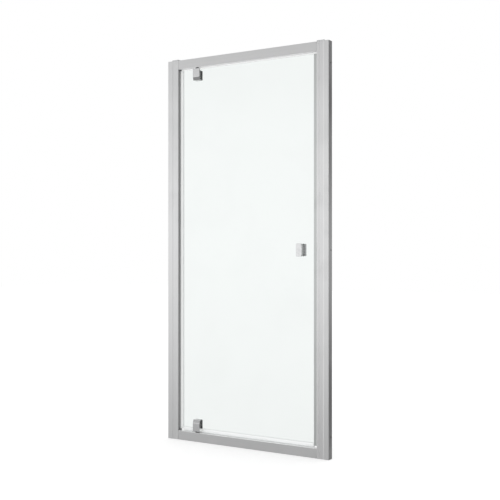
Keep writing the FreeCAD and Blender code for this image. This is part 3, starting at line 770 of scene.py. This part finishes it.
class EditedPiece:
    """A new piece, shaped in edit mode and finished with modifiers.

    Attributes:
        sharp_angle: Edges that turn by more degrees than this are softened.
        smooth_angle: Edges that turn by fewer degrees than this are shaded smooth.
    """

    sharp_angle = 32.0
    smooth_angle = 40.0

    def __init__(self, title: str) -> None:
        """Takes over the active object under a new name."""
        self.body = bpy.context.object
        self.body.name = title

    @classmethod
    def block(cls, title: str, low: Vector, high: Vector) -> "EditedPiece":
        """Starts a block and opens it in edit mode.

        Args:
            title: The piece's name.
            low: Lowest corner.
            high: Highest corner.

        Returns:
            The block.
        """
        bpy.ops.mesh.primitive_cube_add(size=1.0, location=(low + high) / 2.0)
        bpy.context.object.dimensions = high - low
        piece = cls(title)
        piece.open()
        return piece

    def open(self) -> None:
        """Applies the object's transform and opens it in edit mode."""
        bpy.ops.object.transform_apply()
        bpy.ops.object.mode_set(mode="EDIT")

    def pick_faces(self, wanted: Test) -> None:
        """Selects the faces whose middle and normal pass a test."""
        self.pick("FACE", lambda face: wanted(face.calc_center_median(), face.normal))

    def pick_edges(self, wanted: Test) -> None:
        """Selects the edges that a test wants.

        Args:
            wanted: Test on an edge's middle and its unit direction.
        """

        def fits(edge: bmesh.types.BMEdge) -> bool:
            """Whether the test wants this edge."""
            start, end = (corner.co for corner in edge.verts)
            return wanted((start + end) / 2.0, (end - start).normalized())

        self.pick("EDGE", fits)

    def pick(self, kind: str, fits: Callable[[object], bool]) -> None:
        """Selects only the faces or edges that a test wants.

        Args:
            kind: FACE or EDGE.
            fits: Test on one of them.
        """
        bpy.ops.mesh.select_mode(type=kind)
        bpy.ops.mesh.select_all(action="DESELECT")
        mesh = bmesh.from_edit_mesh(self.body.data)
        mesh.normal_update()
        for element in mesh.faces if kind == "FACE" else mesh.edges:
            element.select_set(fits(element))
        bmesh.update_edit_mesh(self.body.data)

    def round_edges(self, rounding: Rounding, wanted: Test) -> None:
        """Rounds the edges whose middle and unit direction pass a test."""
        self.pick_edges(wanted)
        bpy.ops.mesh.bevel(offset=rounding.radius, segments=rounding.facets, affect="EDGES")

    def push_picked(self, move: Vector) -> None:
        """Extrudes the selected faces by a move."""
        bpy.ops.mesh.extrude_region_move(TRANSFORM_OT_translate={"value": tuple(move)})

    def close(self) -> None:
        """Leaves edit mode with all normals outwards."""
        bpy.ops.mesh.select_all(action="SELECT")
        bpy.ops.mesh.normals_make_consistent(inside=False)
        bpy.ops.object.mode_set(mode="OBJECT")

    def bore(
        self, start: Vector, along: Vector, radius: float, end_radius: float | None = None
    ) -> None:
        """Cuts a hole. The piece is out of edit mode.

        Args:
            start: Middle of the hole's first end.
            along: The hole's axis, as long as the hole.
            radius: Radius at the first end.
            end_radius: Radius at the other end, if it differs.
        """
        bpy.ops.mesh.primitive_cone_add(
            vertices=ROUND_SIDES, radius1=radius, depth=along.length,
            radius2=radius if end_radius is None else end_radius,
            location=start + along / 2.0, rotation=along.to_track_quat("Z", "Y").to_euler(),
        )
        drill = bpy.context.object
        self.apply("BOOLEAN", operation="DIFFERENCE", solver="EXACT", object=drill)
        bpy.data.objects.remove(drill)

    def apply(self, kind: str, **settings: object) -> None:
        """Adds a modifier and applies it.

        Args:
            kind: The modifier's type.
            settings: Its settings.
        """
        bpy.context.view_layer.objects.active = self.body
        step = self.body.modifiers.new(kind.lower(), kind)
        for name, value in settings.items():
            setattr(step, name, value)
        bpy.ops.object.modifier_apply(modifier=step.name)

    def soften(self, rounding: Rounding) -> None:
        """Rounds the edges that are still sharp and smooths the shading.

        Args:
            rounding: Their rounding.
        """
        self.apply("WELD", merge_threshold=NEAR)
        self.apply(
            "BEVEL", width=rounding.radius, segments=rounding.facets, limit_method="ANGLE",
            angle_limit=math.radians(self.sharp_angle), use_clamp_overlap=True,
        )
        self.polish()

    def polish(self) -> None:
        """Smooths the shading and keeps the flats flat."""
        pick_only(self.body)
        bpy.ops.object.shade_smooth_by_angle(angle=math.radians(self.smooth_angle))
        self.apply("WEIGHTED_NORMAL", keep_sharp=True, weight=100)

    def duplicate(self, title: str) -> "EditedPiece":
        """A copy with its own mesh, selected and active.

        Args:
            title: The copy's name.

        Returns:
            The copy.
        """
        pick_only(self.body)
        bpy.ops.object.duplicate()
        return EditedPiece(title)

    def turned_over(self, title: str, middle: float) -> "EditedPiece":
        """A copy that is mirrored top for bottom.

        Args:
            title: The copy's name.
            middle: Height of the mirror plane.

        Returns:
            The copy.
        """
        upper = self.duplicate(title)
        bpy.ops.object.mode_set(mode="EDIT")
        bpy.ops.mesh.select_all(action="SELECT")
        bpy.ops.transform.resize(value=(1.0, 1.0, -1.0), center_override=(0.0, 0.0, middle))
        upper.close()
        upper.polish()
        return upper

    def fit(self, body: str, nodes: tuple[str, ...], slot: str, finish: Finish) -> None:
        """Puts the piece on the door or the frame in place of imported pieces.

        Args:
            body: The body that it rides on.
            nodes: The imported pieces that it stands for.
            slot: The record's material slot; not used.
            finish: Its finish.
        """
        self.body.data.materials.clear()
        self.body.data.materials.append(finish.build())
        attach(self.body, body)
        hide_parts(*nodes)
        log.info("%s: new piece on the %s in %s", self.body.name, body, finish.title)


@dataclass
class KnobPair:
    """The two knobs, one on each side of the glass.

    Attributes:
        corner: Rounding of a knob's corners in elevation.
        rim: Rounding of the rim of its free face.
        seat_edge: Rounding of its edge at the gasket.
        grub_radius: Radius of the hole for the grub screw under the inner knob.
        grub_inset: Distance of that hole from the gasket.
        grub_stop: Distance of its end from the middle of the knob.
    """

    corner: Rounding = Rounding(0.007, 12)
    rim: Rounding = Rounding(0.0008, 5)
    seat_edge: Rounding = Rounding(0.0004, 2)
    grub_radius: float = 0.0026
    grub_inset: float = 0.006
    grub_stop: float = 0.003

    def build(self) -> None:
        """Makes both knobs."""
        for side in ("outer", "inner"):
            self.knob(side).fit("door", (f"handle_{side}",), "chrome_fittings", CHROME)

    def knob(self, side: str) -> EditedPiece:
        """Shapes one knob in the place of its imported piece.

        Args:
            side: Outer or inner. The inner one has the grub screw.

        Returns:
            The knob.
        """
        low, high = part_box(f"handle_{side}")
        inside = side == "inner"
        seat, face = (low.y, high.y) if inside else (high.y, low.y)
        piece = EditedPiece.block(f"{side}_knob", low, high)
        piece.round_edges(self.corner, lambda middle, along: abs(along.y) > ALIGNED)
        piece.round_edges(self.rim, lambda middle, along: near(middle.y, face))
        piece.round_edges(self.seat_edge, lambda middle, along: near(middle.y, seat))
        piece.close()
        if inside:
            mouth = Vector(((low.x + high.x) / 2.0, seat + self.grub_inset, low.z - OVERSHOOT))
            reach = ((high.z - low.z) / 2.0 - self.grub_stop) * UP
            piece.bore(mouth, reach, self.grub_radius)
        piece.polish()
        return piece


@dataclass
class PivotFittings:
    """Pivot blocks outside the glass and clamp plates inside, at the bottom and at the top.

    Attributes:
        middle: Height of the plane that mirrors the bottom to the top.
        notch: Height of the room behind the block's front plate.
        plate: Thickness of that front plate.
        slope_height: Height of the block's sloping end.
        slope_depth: How far the slope falls back.
        foot_corner: Rounding of the corners at the rail.
        far_corner: Rounding of the other corners.
        crease: Rounding where the slope starts.
        rim: Rounding of the clamp plate's free face.
        edge: Rounding of the block's other edges.
        bush_room: Radius of the room round the bush.
        grub_radius: Radius of the hole for the grub screw.
        grub_height: Height of that hole above the notch.
        screw_spread: Distance between the clamp screws.
        screw_radius: Radius of a clamp screw's hole.
        head_radius: Radius of its countersink.
        head_depth: Depth of its countersink.
    """

    middle: float = 0.95
    notch: float = 0.011
    plate: float = 0.0045
    slope_height: float = 0.0165
    slope_depth: float = 0.005
    foot_corner: Rounding = Rounding(0.0015, 4)
    far_corner: Rounding = Rounding(0.003, 8)
    crease: Rounding = Rounding(0.0015, 3)
    rim: Rounding = Rounding(0.0008, 5)
    edge: Rounding = Rounding(0.0008, 4)
    bush_room: float = 0.0083
    grub_radius: float = 0.0025
    grub_height: float = 0.010
    screw_spread: float = 0.023
    screw_radius: float = 0.0026
    head_radius: float = 0.0049
    head_depth: float = 0.0023

    def build(self) -> None:
        """Makes the bottom fittings and their copies at the top."""
        for piece, part in ((self.block(), "pivot_block"), (self.clamp(), "clamp_plate")):
            upper = piece.turned_over(f"top_{part}", self.middle)
            piece.fit("door", (f"{part}_bottom",), "chrome_fittings", CHROME)
            upper.fit("door", (f"{part}_top",), "chrome_fittings", CHROME)

    def block(self) -> EditedPiece:
        """Shapes the bottom pivot block: front plate, thick clamp behind it, sloping end.

        Returns:
            The block.
        """
        low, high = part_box("pivot_block_bottom")
        seat = low.z + self.notch
        slope = high.z - self.slope_height
        back = low.y + self.plate
        piece = EditedPiece.block(
            "bottom_pivot_block", Vector((low.x, low.y, seat)), Vector((high.x, high.y, slope))
        )
        piece.pick_faces(lambda middle, normal: normal.z > ALIGNED)
        piece.push_picked(self.slope_height * UP)
        piece.pick_edges(lambda middle, along: near(middle.z, high.z) and near(middle.y, low.y))
        bpy.ops.transform.translate(value=(0.0, self.slope_depth, 0.0))
        bpy.ops.mesh.select_all(action="SELECT")
        bpy.ops.mesh.bisect(plane_co=(0.0, back, 0.0), plane_no=(0.0, 1.0, 0.0))
        piece.pick_faces(lambda middle, normal: normal.z < -ALIGNED and middle.y < back)
        piece.push_picked(-self.notch * UP)
        self.round_corners(piece, low.z, high.z)
        piece.round_edges(
            self.crease, lambda middle, along: near(middle.z, slope) and near(middle.y, low.y)
        )
        piece.close()
        pin_low, pin_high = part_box("pivot_pin_bottom")
        axis = (pin_low + pin_high) / 2.0
        mouth = Vector((axis.x, axis.y, low.z - OVERSHOOT))
        piece.bore(mouth, (self.notch + OVERSHOOT) * UP, self.bush_room)
        side = Vector((low.x - OVERSHOOT, axis.y, seat + self.grub_height))
        piece.bore(side, Vector(((high.x - low.x) / 2.0, 0.0, 0.0)), self.grub_radius)
        piece.soften(self.edge)
        return piece

    def round_corners(self, piece: EditedPiece, foot: float, top: float) -> None:
        """Rounds the corners that show in elevation.

        Args:
            piece: Piece in edit mode.
            foot: Height of its end at the rail.
            top: Height of its other end.
        """
        for height, rounding in ((foot, self.foot_corner), (top, self.far_corner)):
            piece.round_edges(
                rounding, lambda middle, along: abs(along.y) > ALIGNED and near(middle.z, height)
            )

    def clamp(self) -> EditedPiece:
        """Shapes the bottom clamp plate with its two countersunk holes.

        Returns:
            The plate.
        """
        low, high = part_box("clamp_plate_bottom")
        piece = EditedPiece.block("bottom_clamp_plate", low, high)
        self.round_corners(piece, low.z, high.z)
        piece.round_edges(self.rim, lambda middle, along: near(middle.y, high.y))
        piece.close()
        centre = (low + high) / 2.0
        through = (low.y - high.y - 2.0 * OVERSHOOT) * INWARD
        sink = -self.head_depth * INWARD
        for side in (-1.0, 1.0):
            face = Vector((centre.x + side * self.screw_spread / 2.0, high.y, centre.z))
            piece.bore(face + OVERSHOOT * INWARD, through, self.screw_radius)
            piece.bore(face, sink, self.head_radius, self.screw_radius)
        piece.polish()
        return piece


@dataclass
class ScrewCovers:
    """Snap-on covers of the post fixing screws, domed, with a fine step round the foot.

    Attributes:
        heights: Heights of the covers.
        foot: Width of the thin foot round each cover.
        foot_height: Height of that foot.
        wall: Share of the height below the dome.
        dome_facets: Facets of the dome from its rim to its top.
    """

    heights: tuple[float, ...] = (0.15, 0.95, 1.75)
    foot: float = 0.0004
    foot_height: float = 0.0008
    wall: float = 0.5
    dome_facets: int = 6

    def build(self) -> None:
        """Makes the lowest cover on the hinge side and copies it to the other places."""
        low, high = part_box("screw_covers")
        radius = (high.z - low.z - (self.heights[-1] - self.heights[0])) / 2.0
        first = Vector((low.x + radius, low.y, self.heights[0]))
        cover = self.cover(first, radius, high.y - low.y)
        copies = []
        for x in (first.x, high.x - radius):
            for z in self.heights:
                move = Vector((x, low.y, z)) - first
                if move.length > NEAR:
                    copies.append(cover.duplicate("cover_copy").body)
                    bpy.ops.transform.translate(value=tuple(move))
                    bpy.ops.object.transform_apply()
        pick_only(cover.body, *copies)
        bpy.ops.object.join()
        cover.fit("frame", ("screw_covers",), "cap_plastic", CAP_PLASTIC)

    def cover(self, foot: Vector, radius: float, height: float) -> EditedPiece:
        """Shapes one cover: a thin foot, a wall and a domed top.

        Args:
            foot: Middle of the foot, on the channel's face.
            radius: Radius of the foot.
            height: Height of the cover.

        Returns:
            The cover.
        """
        bpy.ops.mesh.primitive_cylinder_add(
            vertices=ROUND_SIDES, radius=radius, depth=self.foot_height,
            location=foot + self.foot_height / 2.0 * INWARD,
            rotation=(math.radians(90.0), 0.0, 0.0),
        )
        piece = EditedPiece("post_screw_covers")
        piece.open()
        piece.pick_faces(lambda middle, normal: normal.y > ALIGNED)
        bpy.ops.mesh.inset(thickness=self.foot)
        piece.push_picked((height - self.foot_height) * INWARD)
        dome = Rounding((1.0 - self.wall) * height, self.dome_facets)
        piece.round_edges(dome, lambda middle, along: near(middle.y, foot.y + height))
        piece.close()
        piece.polish()
        return piece


# ---- studio ----


@dataclass
class Studio:
    """White studio: a pale floor that keeps the shadow, and soft light that falls off up and down.

    A height in a change is a direction's Z without its sign.

    Attributes:
        floor_size: Side of the floor.
        floor_drop: Floor below the rail's underside.
        floor_tone: Diffuse tone of the floor.
        floor_glow: Light that it gives off besides, to be as white as the backdrop.
        soft_level: Level of the light that reaches plain surfaces.
        front_levels: Z of a direction in front, and the level that shiny surfaces see there.
        panel_level: Level of the tall soft panel on the hinge side.
        panel_shift: X over which that panel starts.
        back_shift: Y over which the white backdrop starts.
        backdrop: Change of the backdrop's level with height, as shiny surfaces see it.
        flag_side: Direction of the dark flags behind the strike side.
        flag_shift: Cosine to that side over which they start.
        slit: Change of level with height, from the slit at eye height to the flags.
        beyond: What is added to the level above and below the flags.
        key_power: Power of the key lamp in watts.
        key_size: Width and height of that lamp.
        key_place: Where it is.
        key_aim: The point that it faces.
    """

    floor_size: float = 30.0
    floor_drop: float = 0.0004
    floor_tone: float = 0.62
    floor_glow: float = 0.46
    soft_level: float = 1.0
    front_levels: tuple[Pair, ...] = (
        (-1.0, 0.36), (-0.42, 0.30), (-0.30, 0.29), (-0.235, 0.37), (-0.185, 0.61), (-0.09, 0.93),
        (0.0, 1.12), (0.12, 1.07), (0.20, 0.79), (0.30, 0.50), (0.42, 0.42), (1.0, 0.42),
    )
    panel_level: float = 1.25
    panel_shift: Shift = Shift(-0.82, -0.92)
    back_shift: Shift = Shift(0.1, 0.6)
    backdrop: Shift = Shift(0.05, 0.18, 0.80, 0.98)
    flag_side: Place = (0.56, 0.83, 0.0)
    flag_shift: Shift = Shift(0.72, 0.93)
    slit: Shift = Shift(0.02, 0.15, 0.47, 0.06)
    beyond: Shift = Shift(0.20, 0.38, 0.0, 0.6)
    key_power: float = 18.0
    key_size: Pair = (3.0, 2.0)
    key_place: Place = (-2.6, -3.4, 3.6)
    key_aim: Place = (0.0, 0.0, 0.9)

    def build(self) -> None:
        """Makes the floor, the world and the key light."""
        self.make_floor()
        self.make_world()
        self.make_key()

    def make_floor(self) -> None:
        """Makes the floor: pale, seen as white, with the object's shadow."""
        bpy.ops.mesh.primitive_plane_add(
            size=self.floor_size, location=(0.0, 0.0, -self.floor_drop)
        )
        floor = bpy.context.object
        floor.name = "studio_floor"
        material = bpy.data.materials.new("studio floor")
        bench = bench_on(material)
        matt = bench.add("ShaderNodeBsdfDiffuse", grey(self.floor_tone))
        glow = bench.add("ShaderNodeEmission", grey(1.0), self.floor_glow)
        lit = bench.add("ShaderNodeAddShader", matt.outputs[0], glow.outputs[0])
        gone = bench.add("ShaderNodeBsdfTransparent")
        mirrored = bench.add("ShaderNodeLightPath").outputs["Is Glossy Ray"]
        shown = bench.add("ShaderNodeMixShader", mirrored, lit.outputs[0], gone.outputs[0])
        bench.add("ShaderNodeOutputMaterial", shown.outputs[0])
        floor.data.materials.append(material)

    def make_world(self) -> None:
        """Makes the surroundings: white behind, and for shiny surfaces a band of light in front."""
        world = bpy.data.worlds.new("studio surroundings")
        bpy.context.scene.world = world
        bench = bench_on(world)
        direction = bench.coordinates("Generated")
        x, y, z = bench.add("ShaderNodeSeparateXYZ", direction).outputs
        height = bench.math("ABSOLUTE", z)
        front = bench.stops(z, self.front_levels)
        panel = bench.ramp(x, self.panel_shift)
        lit = bench.mix(panel, front, grey(self.panel_level))
        backdrop = bench.ramp(height, self.backdrop)
        surround = bench.mix(bench.ramp(y, self.back_shift), lit, backdrop)
        toward = bench.vector("DOT_PRODUCT", direction, Vector(self.flag_side).normalized())
        slit = bench.ramp(height, self.slit)
        flags = bench.math("ADD", slit, bench.ramp(height, self.beyond))
        shaded = bench.mix(bench.ramp(toward, self.flag_shift), surround, flags)
        path = bench.add("ShaderNodeLightPath").outputs
        mirrored = bench.math("MINIMUM", path["Glossy Depth"], 1.0)
        shiny = bench.mix(mirrored, grey(1.0), shaded)
        seen = bench.mix(path["Is Diffuse Ray"], shiny, grey(self.soft_level))
        background = bench.add("ShaderNodeBackground", seen)
        bench.add("ShaderNodeOutputWorld", background.outputs[0])

    def make_key(self) -> None:
        """Makes one large soft lamp, high in front and to the left, that no mirror shows."""
        bpy.ops.object.light_add(type="AREA", location=self.key_place)
        key = bpy.context.object
        key.name = "key_light"
        key.data.shape = "RECTANGLE"
        key.data.size, key.data.size_y = self.key_size
        key.data.energy = self.key_power
        aim = Vector(self.key_aim) - key.location
        key.rotation_euler = aim.to_track_quat("-Z", "Y").to_euler()
        key.visible_glossy = False
        key.visible_transmission = False


@dataclass
class Viewpoint:
    """The photograph's camera, worked out from its parallel edges.

    Attributes:
        place: Where it stands.
        turn: How far it is turned to the left of straight on, in degrees.
        focal_pixels: Focal length in pixels of the photograph.
        sensor: Width of the camera's sensor in millimetres.
        reach: How far it sees.
    """

    place: Place = (2.208, -3.5735, 0.950)
    turn: float = 31.44
    focal_pixels: float = 875.0
    sensor: float = 36.0
    reach: float = 100.0

    def build(self) -> None:
        """Makes the camera and gives it to the scene."""
        bpy.ops.object.camera_add(
            location=self.place, rotation=(math.radians(90.0), 0.0, math.radians(self.turn))
        )
        camera = bpy.context.object
        camera.name = "photo_camera"
        camera.data.sensor_width = self.sensor
        camera.data.lens = self.focal_pixels / IMAGE_SIZE * self.sensor
        camera.data.clip_end = self.reach
        bpy.context.scene.camera = camera


def main() -> None:
    """Dresses the door, builds the studio and sets the camera."""
    logging.basicConfig(level=logging.INFO, format="%(name)s %(message)s")
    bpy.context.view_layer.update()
    Viewpoint().build()
    Studio().build()
    FRAME_SET.dress()
    DOOR_SET.dress()
    PivotFittings().build()
    KnobPair().build()
    ScrewCovers().build()
    bpy.context.scene.view_settings.view_transform = "Standard"


if __name__ == "__main__":
    main()
